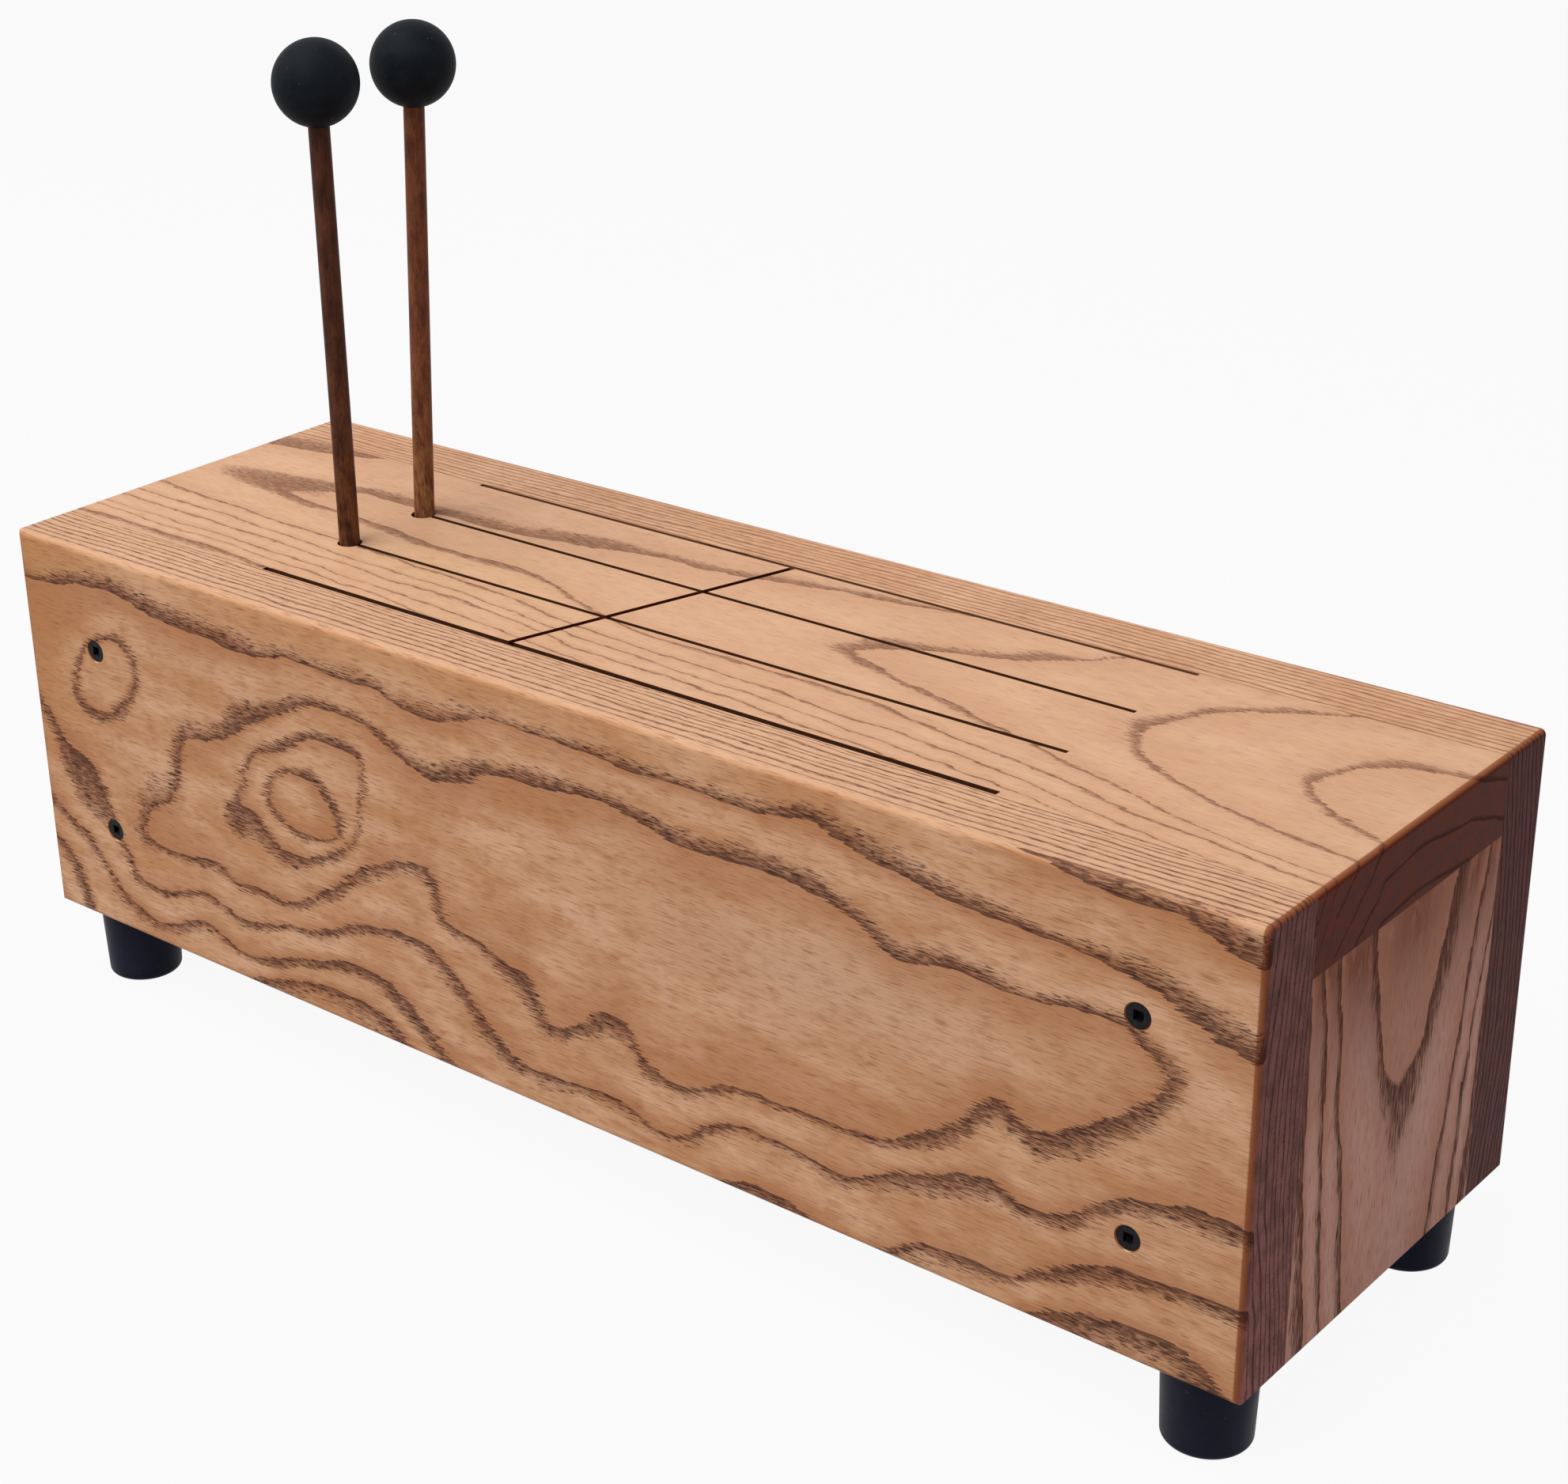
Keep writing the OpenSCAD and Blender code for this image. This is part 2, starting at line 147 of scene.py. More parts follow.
FRONT_EDGE_RINGS = [(0, 0), (2.3, 0.05), (4.2, 0.8), (7.5, 1.7), (10.8, 2.7), (13.4, 3.7), (16.4, 4.7),
                    (18.6, 5.7), (21.4, 6.7), (23.6, 7.8), (26, 9.0)]


def start_finish(name):
    """An empty finish with its surface shader, ready for its nodes."""
    finish = bpy.data.materials.new(name)
    finish.use_nodes = True
    tree = finish.node_tree
    tree.nodes.clear()
    out = tree.nodes.new("ShaderNodeOutputMaterial")
    surface = tree.nodes.new("ShaderNodeBsdfPrincipled")
    tree.links.new(surface.outputs["BSDF"], out.inputs["Surface"])
    return finish, tree, surface


def feed(tree, socket, value):
    """Joins a node's output to a socket, or writes a plain number or colour on it."""
    if isinstance(value, bpy.types.NodeSocket):
        tree.links.new(value, socket)
    elif isinstance(value, tuple) and len(value) == 3 and socket.type == "RGBA":
        socket.default_value = (*value, 1.0)
    else:
        socket.default_value = value


def sum_up(tree, operation, *values):
    """One Math node, such as ADD, MULTIPLY or POWER, on up to three values."""
    node = tree.nodes.new("ShaderNodeMath")
    node.operation = operation
    for socket, value in zip(node.inputs, values):
        feed(tree, socket, value)
    return node.outputs[0]


def between(tree, value, low, high, to_low=0.0, to_high=1.0, smooth=False):
    """How far a value has come from low to high, held at both ends."""
    node = tree.nodes.new("ShaderNodeMapRange")
    node.interpolation_type = "SMOOTHSTEP" if smooth else "LINEAR"
    node.clamp = True
    for name, number in (("Value", value), ("From Min", low), ("From Max", high),
                         ("To Min", to_low), ("To Max", to_high)):
        feed(tree, node.inputs[name], number)
    return node.outputs["Result"]


def blend_colours(tree, share, first, second, how="MIX"):
    """Mixes two colours by a share from 0 to 1."""
    node = tree.nodes.new("ShaderNodeMix")
    node.data_type = "RGBA"
    node.blend_type = how
    feed(tree, node.inputs["Factor"], share)
    feed(tree, node.inputs[6], first)
    feed(tree, node.inputs[7], second)
    return node.outputs[2]


def speckle(tree, place, size, detail=1.0, rough=0.5, shift=(0.0, 0.0, 0.0), colour=False):
    """Noise whose patches measure about size, in millimetres, along, across and into the wood."""
    scale = tree.nodes.new("ShaderNodeMapping")
    scale.inputs["Location"].default_value = shift
    scale.inputs["Scale"].default_value = tuple(1.0 / s for s in size)
    noise = tree.nodes.new("ShaderNodeTexNoise")
    noise.inputs["Scale"].default_value = 1.0
    noise.inputs["Detail"].default_value = detail
    noise.inputs["Roughness"].default_value = rough
    tree.links.new(place, scale.inputs["Vector"])
    tree.links.new(scale.outputs["Vector"], noise.inputs["Vector"])
    return noise.outputs["Color" if colour else "Fac"]


def board_place(tree, along, across, into):
    """A point's place in its board in millimetres. Each of the three is an axis, its sign and
    its starting place: along the grain, across the face from one edge, and into the wood."""
    where = tree.nodes.new("ShaderNodeTexCoord")
    axes = tree.nodes.new("ShaderNodeSeparateXYZ")
    tree.links.new(where.outputs["Object"], axes.inputs["Vector"])
    joined = tree.nodes.new("ShaderNodeCombineXYZ")
    for socket, (axis, sign, start) in zip(joined.inputs, (along, across, into)):
        feed(tree, socket, sum_up(tree, "MULTIPLY_ADD", axes.outputs[axis], sign * 1000.0, start))
    return joined.outputs["Vector"]


def ring_line(tree, share, points, start, length, room=LINE_ROOM, span=LINE_SPAN):
    """One ring's line on the face: how far across the board it runs, all along the board."""
    node = tree.nodes.new("ShaderNodeFloatCurve")
    curve = node.mapping.curves[0]
    spots = [((a - start) / length, (b + room) / span) for a, b in points]
    curve.points[0].location = spots[0]
    curve.points[1].location = spots[-1]
    for spot in spots[1:-1]:
        curve.points.new(*spot)
    for point in curve.points:
        point.handle_type = "AUTO_CLAMPED"
    node.mapping.update()
    tree.links.new(share, node.inputs["Value"])
    return node.outputs["Value"]


def ring_count(tree, share, across, rings, start, length, flip):
    """Counts the rings crossed on the way in from one edge of the face. A whole number is the
    sharp side of a ring, and a line 0.28 before it is where its open pores begin."""
    lines = [(number, ring_line(tree, share, points, start, length)) for number, points in rings]
    count = float(rings[0][0])
    for (outer_number, outer), (inner_number, inner) in zip(lines[:-1], lines[1:]):
        rise = float(inner_number - outer_number)
        if flip:
            step = between(tree, across, inner, outer, rise, 0.0)
        else:
            step = between(tree, across, outer, inner, 0.0, rise)
        count = sum_up(tree, "ADD", count, step)
    return count


def patch(tree, place, centre, reach, turn, strength):
    """A soft round patch on the face, strongest at its centre and gone at its reach."""
    fit = tree.nodes.new("ShaderNodeMapping")
    fit.vector_type = "TEXTURE"
    fit.inputs["Location"].default_value = (centre[0], centre[1], 0.0)
    fit.inputs["Rotation"].default_value = (0.0, 0.0, math.radians(turn))
    fit.inputs["Scale"].default_value = (reach[0], reach[1], 400.0)
    round_patch = tree.nodes.new("ShaderNodeTexGradient")
    round_patch.gradient_type = "QUADRATIC_SPHERE"
    tree.links.new(place, fit.inputs["Vector"])
    tree.links.new(fit.outputs["Vector"], round_patch.inputs["Vector"])
    return sum_up(tree, "MULTIPLY", round_patch.outputs["Fac"], strength)


def ash(name, along, across, into, near_rings, far_rings, edge_rings, start, length, smears=(),
        islands=(), tints=(), seed=0.0, colours=(TAN, PALE_TAN, WARM_TAN), ends=END_GRAIN_BROWN,
        lit_low_ends=LIT_LOW_END_GRAIN_BROWN,
        gloss=0.42, shine=0.03, pore=PORE_BROWN, sheen_top_pore=SHEEN_TOP_PORE_BROWN, dash=(4.6, 0.46),
        stagger=10.0, thick=0.24, bold=1.0, full=0.01, halo=0.12, flecks=0.62, top_sheen=0.6,
        wall_axis=None, wall_from=0.0, wall_stain_and_shade=WALL_STAIN_AND_SHADE_BROWN):
    """Stained ash. Rings run through the board: the lines on its face are where they come out,
    each sharp on its inner side and feathered into short open pores on its outer side."""
    finish, tree, surface = start_finish(name)
    place = board_place(tree, along, across, into)
    parts = tree.nodes.new("ShaderNodeSeparateXYZ")
    tree.links.new(place, parts.inputs["Vector"])

    # The fibres wander, and each row of pores starts at its own place along the grain.
    wide = sum_up(tree, "SUBTRACT", speckle(tree, place, (34, 13, 60), 2.0, 0.5, (seed, 0, 0)), 0.5)
    close = sum_up(tree, "SUBTRACT", speckle(tree, place, (9, 2.4, 20), 1.0, 0.5, (0, seed, 0)), 0.5)
    rows = sum_up(tree, "SUBTRACT", speckle(tree, place, (10, 0.55, 0.8), 0.0, 0.5, (0, 0, seed)), 0.5)
    wander = sum_up(tree, "ADD", sum_up(tree, "MULTIPLY", wide, 6.0), sum_up(tree, "MULTIPLY", close, 2.0))
    run = sum_up(tree, "MULTIPLY_ADD", rows, stagger, parts.outputs["X"])
    share = between(tree, run, start, start + length)
    reached = sum_up(tree, "ADD", parts.outputs["Y"], wander)
    side = sum_up(tree, "MULTIPLY_ADD", reached, 1.0 / LINE_SPAN, LINE_ROOM / LINE_SPAN)
    wandered = tree.nodes.new("ShaderNodeCombineXYZ")
    feed(tree, wandered.inputs["X"], run)
    feed(tree, wandered.inputs["Y"], reached)
    grown = wandered.outputs["Vector"]

    near = ring_count(tree, share, side, near_rings, start, length, False)
    far = ring_count(tree, share, side, far_rings, start, length, True)
    rings = sum_up(tree, "SMOOTH_MIN", near, far, 0.3)
    for centre, reach, turn, height, most in islands:
        lift = sum_up(tree, "MINIMUM", patch(tree, grown, centre, reach, turn, height), most)
        rings = sum_up(tree, "ADD", rings, lift)
    drift = sum_up(tree, "SUBTRACT", speckle(tree, place, (45, 45, 7), 1.0, 0.5, (seed, 0, seed)), 0.5)
    deep = sum_up(tree, "MULTIPLY_ADD", drift, between(tree, parts.outputs["Z"], 2.5, 6.0, 0.0, 4.0),
                  parts.outputs["Z"])
    through = ring_line(tree, between(tree, deep, 0.0, 26.0), edge_rings, 0.0, 26.0, 0.0, 20.0)
    rings = sum_up(tree, "ADD", rings, sum_up(tree, "MULTIPLY_ADD", through, 20.0, 0.04))
    phase = sum_up(tree, "FRACT", rings)

    facing = tree.nodes.new("ShaderNodeTexCoord")
    faces = tree.nodes.new("ShaderNodeSeparateXYZ")
    tree.links.new(facing.outputs["Normal"], faces.inputs["Vector"])
    up = between(tree, faces.outputs["Z"], 0.4, 0.95)

    # Open pores crowd up to the sharp side of each ring.
    width = sum_up(tree, "MULTIPLY_ADD", speckle(tree, place, (26, 14, 30), 1.0, 0.5, (seed, seed, 0)), 0.22, thick)
    for centre, reach, turn, extra in smears:
        width = sum_up(tree, "ADD", width, patch(tree, grown, centre, reach, turn, extra))
    crowd = between(tree, phase, sum_up(tree, "SUBTRACT", 1.0, width), 0.99)
    pores = speckle(tree, place, (dash[0], dash[1], dash[1]), 1.5, 0.6, (seed, 0, seed))
    open_at = sum_up(tree, "MULTIPLY_ADD", crowd, -0.19, 0.57 - full)
    dark = between(tree, pores, open_at, sum_up(tree, "ADD", open_at, 0.09), smooth=True)
    dark = sum_up(tree, "MULTIPLY", dark, between(tree, crowd, 0.0, 0.12, 0.0, 0.97 * bold))
    filled = speckle(tree, place, (7.0, 0.8, 0.8), 2.0, 0.6, (3.0, seed, 1.0))
    dark = sum_up(tree, "MULTIPLY", dark, between(tree, filled, 0.36, 0.62, 0.52, 1.0))
    # Ring cores are drawn less dark on faces that point up, part of their painted sheen.
    core = sum_up(tree, "MULTIPLY", between(tree, crowd, 0.80, 1.0, 0.0, 0.75 * bold ** 2),
                  between(tree, up, 0.0, 1.0, 1.0, 0.45))
    dark = sum_up(tree, "MAXIMUM", dark, core)
    wash = sum_up(tree, "MAXIMUM", between(tree, crowd, 0.0, 0.60, 0.0, 0.62 * bold, smooth=True),
                  between(tree, phase, 0.45, 0.98, 0.0, halo, smooth=True))

    # Fine pores lie all over, and the wood inside each ring is warmer.
    fine = between(tree, speckle(tree, place, (8.0, 0.40, 0.40), 1.0, 0.6, (0, seed, 0)), 0.56, 0.68, 0.0, flecks)
    inner = between(tree, phase, 0.0, 0.34, 0.70, 0.0, smooth=True)
    curl = between(tree, speckle(tree, place, (11, 5, 8), 3.0, 0.6, (2.0, seed, 5.0)), 0.52, 0.72, 0.0, 0.60)
    cloud = speckle(tree, place, (44, 15, 30), 4.0, 0.6, (seed, 3.0, 0))
    fibre = speckle(tree, place, (24, 0.9, 1.2), 2.0, 0.6, (1.0, seed, 2.0))
    tan, pale, warm = colours
    colour = blend_colours(tree, between(tree, cloud, 0.38, 0.62), tan, pale)
    for centre, reach, turn, strength, tint in tints:
        colour = blend_colours(tree, patch(tree, grown, centre, reach, turn, strength), colour, tint)
    colour = blend_colours(tree, curl, colour, warm)
    colour = blend_colours(tree, inner, colour, warm)
    colour = blend_colours(tree, between(tree, fibre, 0.3, 0.75, 0.0, 0.34), colour, warm)
    # Faces that point up get a painted sheen: a paler colour and lighter pores.
    colour = blend_colours(tree, sum_up(tree, "MULTIPLY", up, top_sheen), colour, TOP_SHEEN_PALE)
    pore = blend_colours(tree, up, pore, sheen_top_pore)
    colour = blend_colours(tree, fine, colour, STREAK_BROWN)
    colour = blend_colours(tree, wash, colour, STREAK_BROWN)

    # End grain drinks the stain. The rounded edges beside it get a painted orange highlight, the glow of light
    # through the edge.
    endwise = sum_up(tree, "ABSOLUTE", faces.outputs[along[0]])
    painted_edge_glow = sum_up(tree, "MULTIPLY", between(tree, endwise, 0.10, 0.30, smooth=True),
                    between(tree, endwise, 0.72, 0.97, 1.0, 0.0, smooth=True))
    cut_across = between(tree, endwise, 0.30, 0.90, smooth=True)
    drunk = between(tree, speckle(tree, place, (20, 9, 5), 3.0, 0.6, (seed, 4.0, 1.0)), 0.42, 0.62, 0.0, 0.5)
    # End grain is drawn lighter towards 152 mm across the face, the bottom of the front and back: painted light.
    end_grain_lit_low = blend_colours(tree, between(tree, parts.outputs["Y"], 0.0, 152.0), ends, lit_low_ends)
    colour = blend_colours(tree, cut_across, colour, blend_colours(tree, drunk, end_grain_lit_low, END_RING_BROWN))
    colour = blend_colours(tree, sum_up(tree, "MULTIPLY", painted_edge_glow, 0.85), colour, EDGE_GLOW_ORANGE)
    solid = sum_up(tree, "MULTIPLY", between(tree, crowd, 0.15, 0.70, 0.0, 0.80), cut_across)
    dark = sum_up(tree, "MAXIMUM", dark, solid)
    pore = blend_colours(tree, cut_across, pore, END_RING_BROWN)
    # Faces across the wall axis past wall_from, the slot walls and inside faces, are drawn dark brown: partly a
    # darker stain, partly painted shade.
    if wall_axis:
        wall = between(tree, sum_up(tree, "ABSOLUTE", faces.outputs[wall_axis]), 0.5, 0.9)
        wall = sum_up(tree, "MULTIPLY", wall, between(tree, parts.outputs["Z"], wall_from - 0.2, wall_from))
        colour = blend_colours(tree, wall, colour, wall_stain_and_shade)
    colour = blend_colours(tree, dark, colour, pore)
    feed(tree, surface.inputs["Base Color"], colour)
    surface.inputs["Specular IOR Level"].default_value = shine
    feed(tree, surface.inputs["Roughness"], between(tree, dark, 0.0, 1.0, gloss, gloss + 0.25))

    relief = tree.nodes.new("ShaderNodeBump")
    relief.inputs["Strength"].default_value = 0.35
    relief.inputs["Distance"].default_value = 0.0003
    height = sum_up(tree, "ADD", sum_up(tree, "MULTIPLY", dark, -0.8), sum_up(tree, "MULTIPLY", fine, -0.3))
    height = sum_up(tree, "ADD", height, sum_up(tree, "MULTIPLY", fibre, 0.35))
    feed(tree, relief.inputs["Height"], height)
    feed(tree, surface.inputs["Normal"], relief.outputs["Normal"])
    return finish


def give(node_name, finish):
    """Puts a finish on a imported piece."""
    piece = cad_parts[node_name]
    piece.data.materials.clear()
    piece.data.materials.append(finish)


front_ash = ash(
    "front_board_ash", ("X", 1, 0.0), ("Z", -1, BOX_TOP), ("Y", 1, BOX_BACK),
    FRONT_TOP_RINGS, FRONT_BOTTOM_RINGS, FRONT_EDGE_RINGS, BOX_LEFT, BOX_LONG,
    smears=[((-152, 86), (9, 13), 0, 0.8)],
    islands=[((-218, 47), (39, 25), -43, 2.8, 1.2), ((-118, 70.5), (17, 12), 20, 0.9, 0.42)],
    tints=[((110, 64), (170, 44), -4, 1.2, (0.76, 0.475, 0.300)),
           ((-262, 30), (70, 130), 0, 1.3, (0.62, 0.30, 0.115)),
           ((-60, 4), (330, 16), 0, 0.7, (0.66, 0.33, 0.135))],
    top_sheen=0.75, wall_axis="Y", wall_from=25.8)
give("front_board", front_ash)


# Back board
#
# The same board as the front, from another part of the tree, so its rings lie closer.
# It is glued and screwed on in the same way.

BACK_TOP_RINGS = [
    (-1, [(-260, -30), (260, -12)]),
    (0, [(-260, 2), (-120, 6), (40, -4), (260, 8)]),
    (1, [(-260, 20), (-190, 26), (-110, 18), (-30, 22), (60, 12), (140, 20), (260, 27)]),
    (2, [(-260, 44), (-200, 38), (-140, 32), (-60, 38), (20, 30), (110, 34), (180, 44), (260, 60)]),
    (3, [(-260, 90), (-205, 66), (-150, 50), (-70, 54), (0, 44), (90, 50), (150, 66), (200, 92),
         (260, 140)]),
    (4, [(-260, 150), (-150, 96), (-100, 72), (-40, 66), (30, 62), (80, 78), (120, 110),
         (260, 180)]),
    (5, [(-260, 240), (260, 240)]),
]
BACK_BOTTOM_RINGS = [
    (-1, [(-260, 170), (260, 186)]),
    (0, [(-260, 150), (-130, 158), (20, 152), (150, 160), (260, 148)]),
    (1, [(-260, 136), (-170, 142), (-60, 138), (50, 130), (160, 140), (260, 132)]),
    (2, [(-260, 118), (-200, 124), (-120, 128), (-20, 118), (70, 116), (170, 122), (260, 112)]),
    (3, [(-260, 92), (-205, 98), (-150, 112), (-70, 108), (0, 100), (90, 104), (150, 108),
         (200, 92), (260, 60)]),
    (4, [(-260, 30), (-150, 70), (-100, 92), (-40, 88), (30, 84), (80, 80), (120, 60), (260, 20)]),
    (5, [(-260, -60), (260, -60)]),
]
BACK_EDGE_RINGS = [(0, 0), (2.3, 0.2), (4.5, 1.1), (7.2, 2.2), (9.4, 3.1), (12.6, 4.2), (15, 5.3),
                   (18.4, 6.3), (21, 7.4), (23.8, 8.3), (26, 9.2)]
BACK_END_GRAIN = (0.145, 0.036, 0.029)
# Lighter end grain lower down on the back: painted light.
LIT_LOW_BACK_END_GRAIN = (0.20, 0.062, 0.052)
# The back's inside face: a darker stain with painted shade.
BACK_WALL_STAIN_AND_SHADE_BROWN = (0.19, 0.080, 0.040)

back_ash = ash(
    "back_board_ash", ("X", 1, 0.0), ("Z", -1, BOX_TOP), ("Y", -1, BOX_BACK),
    BACK_TOP_RINGS, BACK_BOTTOM_RINGS, BACK_EDGE_RINGS, BOX_LEFT, BOX_LONG,
    smears=[((150, 100), (40, 18), 0, 0.3)], seed=5.0, ends=BACK_END_GRAIN, lit_low_ends=LIT_LOW_BACK_END_GRAIN,
    sheen_top_pore=(0.32, 0.155, 0.095), top_sheen=0.42, wall_axis="Y", wall_from=25.8,
    wall_stain_and_shade=BACK_WALL_STAIN_AND_SHADE_BROWN)
give("back_board", back_ash)


# End panels
#
# Two pieces cut from one board and set with the grain upright, between the front and the
# back and under the top. Their rings stand in tall pointed arches.

END_HIGH = 153.0
# Darker, redder tint over the upper part of the right end: painted shade.
RIGHT_END_TOP_SHADE = (0.26, 0.062, 0.022)
# Pinker, brighter tans for the right end: painted light, making up for its face lying in shade.
RIGHT_END_LIT_TANS = ((0.92, 0.47, 0.36), (0.96, 0.54, 0.43), (0.70, 0.29, 0.17))
LEFT_END_TANS = ((0.62, 0.300, 0.150), (0.72, 0.400, 0.225), (0.48, 0.195, 0.085))
END_PORE_BROWN = (0.095, 0.034, 0.026)
RIGHT_END_NEAR_RINGS = [
    (-2, [(0, -72), (153, -68)]),
    (-1, [(0, -57), (27, -56), (67, -54), (127, -49), (153, -45)]),
    (0, [(0, -50), (27, -48), (60, -45), (90, -42), (123, -39), (153, -36)]),
    (1, [(0, -42), (27, -40), (60, -36), (90, -32), (123, -27), (153, -23)]),
    (1.72, [(0, -27), (27, -23), (50, -18.5), (63, -15), (77, -12), (90, -8), (110, 1), (153, 26)]),
    (2, [(0, -22), (27, -19), (50, -14), (63, -10.5), (77, -7), (84, 0), (110, 24), (153, 55)]),
    (3, [(0, 60), (153, 100)]),
]
RIGHT_END_FAR_RINGS = [
    (-2, [(0, 74), (153, 68)]),
    (-1, [(0, 64), (33, 60), (83, 55.5), (117, 52.5), (153, 50)]),
    (0, [(0, 59), (50, 54), (83, 49), (117, 44.5), (153, 42)]),
    (1, [(0, 53), (28, 49), (50, 44), (83, 39), (117, 33), (147, 28), (153, 27)]),
    (1.72, [(0, 41), (27, 35), (50, 30), (73, 22), (90, 15), (112, 4), (153, -18)]),
    (2, [(0, 34), (27, 28), (33, 26), (50, 22.5), (63, 17.5), (78, 12.5), (84, 5), (110, -15),
         (153, -50)]),
    (3, [(0, -50), (153, -75)]),
]
LEFT_END_NEAR_RINGS = [
    (-2, [(0, -74), (153, -72)]),
    (-1, [(0, -52), (60, -55), (153, -58)]),
    (0, [(0, -42), (70, -46), (153, -51)]),
    (1, [(0, -20), (60, -28), (110, -38), (153, -46)]),
    (2, [(0, 34), (40, 14), (64, 0), (100, -14), (153, -26)]),
    (3, [(0, 90), (60, 60), (112, 4), (130, -6), (153, -12)]),
    (4, [(0, 120), (153, 90)]),
]
LEFT_END_FAR_RINGS = [
    (-2, [(0, 70), (153, 76)]),
    (-1, [(0, 49), (80, 54), (153, 58)]),
    (0, [(0, 38), (70, 45), (153, 50)]),
    (1, [(0, 20), (50, 30), (110, 39), (153, 44)]),
    (2, [(0, -40), (40, -10), (64, 5), (100, 19), (153, 33)]),
    (3, [(0, -75), (60, -60), (112, 0), (130, 9), (153, 18)]),
    (4, [(0, -79), (60, -79), (153, -70)]),
]
END_EDGE_RINGS = [(0, 0), (26, 4)]

right_end_ash = ash(
    "right_end_ash", ("Z", -1, BOX_TOP), ("Y", 1, 0.0), ("X", -1, 260.5),
    RIGHT_END_NEAR_RINGS, RIGHT_END_FAR_RINGS, END_EDGE_RINGS, 0.0, END_HIGH,
    smears=[((29, 3), (9, 8), 0, 0.7)], tints=[((-10, 0), (115, 220), 0, 2.8, RIGHT_END_TOP_SHADE)],
    seed=9.0, colours=RIGHT_END_LIT_TANS, pore=END_PORE_BROWN, dash=(9.0, 0.5), stagger=6.0, thick=0.19,
    full=0.06, halo=0.45)
left_end_ash = ash(
    "left_end_ash", ("Z", -1, BOX_TOP), ("Y", -1, 0.0), ("X", 1, 260.5),
    LEFT_END_NEAR_RINGS, LEFT_END_FAR_RINGS, END_EDGE_RINGS, 0.0, END_HIGH,
    smears=[((48, 2), (26, 12), 0, 0.5)],
    seed=14.0, colours=LEFT_END_TANS, pore=END_PORE_BROWN, dash=(9.0, 0.5), stagger=6.0,
    thick=0.19, full=0.06, halo=0.45)
give("right_end_panel", right_end_ash)
give("left_end_panel", left_end_ash)


# Bottom board
#
# Let in flush between the four sides, and the floor that the mallets stand on.

BOTTOM_NEAR_RINGS = [
    (0, [(-260, -40), (260, -30)]),
    (1, [(-260, 30), (-100, 36), (80, 28), (260, 38)]),
    (2, [(-260, 44), (-120, 52), (60, 44), (260, 54)]),
    (3, [(-260, 66), (-120, 70), (0, 60), (140, 68), (260, 84)]),
    (4, [(-260, 240), (260, 240)]),
]
BOTTOM_FAR_RINGS = [
    (0, [(-260, 200), (260, 190)]),
    (1, [(-260, 138), (-40, 132), (120, 138), (260, 130)]),
    (2, [(-260, 122), (-90, 118), (110, 124), (260, 116)]),
    (3, [(-260, 96), (-140, 102), (20, 106), (150, 96), (260, 78)]),
    (4, [(-260, -60), (260, -60)]),
]
bottom_ash = ash(
    "bottom_board_ash", ("X", 1, 0.0), ("Y", -1, BOX_BACK), ("Z", 1, -31.0),
    BOTTOM_NEAR_RINGS, BOTTOM_FAR_RINGS, [(0, 0), (26, 3)], BOX_LEFT, BOX_LONG,
    seed=21.0)
give("bottom_board", bottom_ash)


# Corner blocks
#
# Four square glue blocks of sawn, unfinished wood behind the screws, inside the corners.

block_wood = ash(
    "corner_block_wood", ("Z", -1, BOX_TOP), ("Y", 1, 0.0), ("X", -1, 260.5),
    [(0, [(0, -80), (153, -78)]), (9, [(0, 90), (153, 90)])],
    [(0, [(0, 80), (153, 78)]), (9, [(0, -90), (153, -90)])],
    [(0, 0), (26, 5)], 0.0, END_HIGH, seed=30.0,
    colours=((0.60, 0.44, 0.27), (0.68, 0.52, 0.34), (0.52, 0.36, 0.20)), gloss=0.7)
for corner in ("front_left", "front_right", "back_left", "back_right"):
    give(corner + "_block", block_wood)


# Top
#
# One board sawn right through into six tongues that ring when they are struck. The slanted
# cross cut parts it in two, and the mallets stand in the holes at the ends of two slots.

TOP_BACK_RINGS = [
    (-1, [(-260, -10), (260, -40)]),
    (0, [(-260, 41), (-235, 37), (-205, 27), (-180, 21), (-100, 15), (100, 10), (260, 5)]),
    (1, [(-260, 90), (-215, 76), (-192, 66), (-180, 62), (-140, 62), (-100, 61), (-75, 54),
         (-55, 50), (-30, 48), (0, 42), (50, 32), (75, 28), (100, 22), (260, 12)]),
    (2, [(-260, 140), (0, 120), (45, 85), (58, 74), (70, 66), (85, 60), (100, 54), (118, 42),
         (133, 28), (160, 20), (260, 16)]),
    (3, [(-260, 160), (60, 140), (140, 100), (162, 78), (168, 68), (173, 55), (190, 40),
         (210, 28), (230, 20), (260, 18)]),
    (4, [(-260, 180), (100, 160), (200, 110), (221, 82), (225, 76), (228, 66), (233, 58), (240, 54),
         (247, 51.5), (260, 49)]),
    (5, [(-260, 240), (260, 180)]),
]
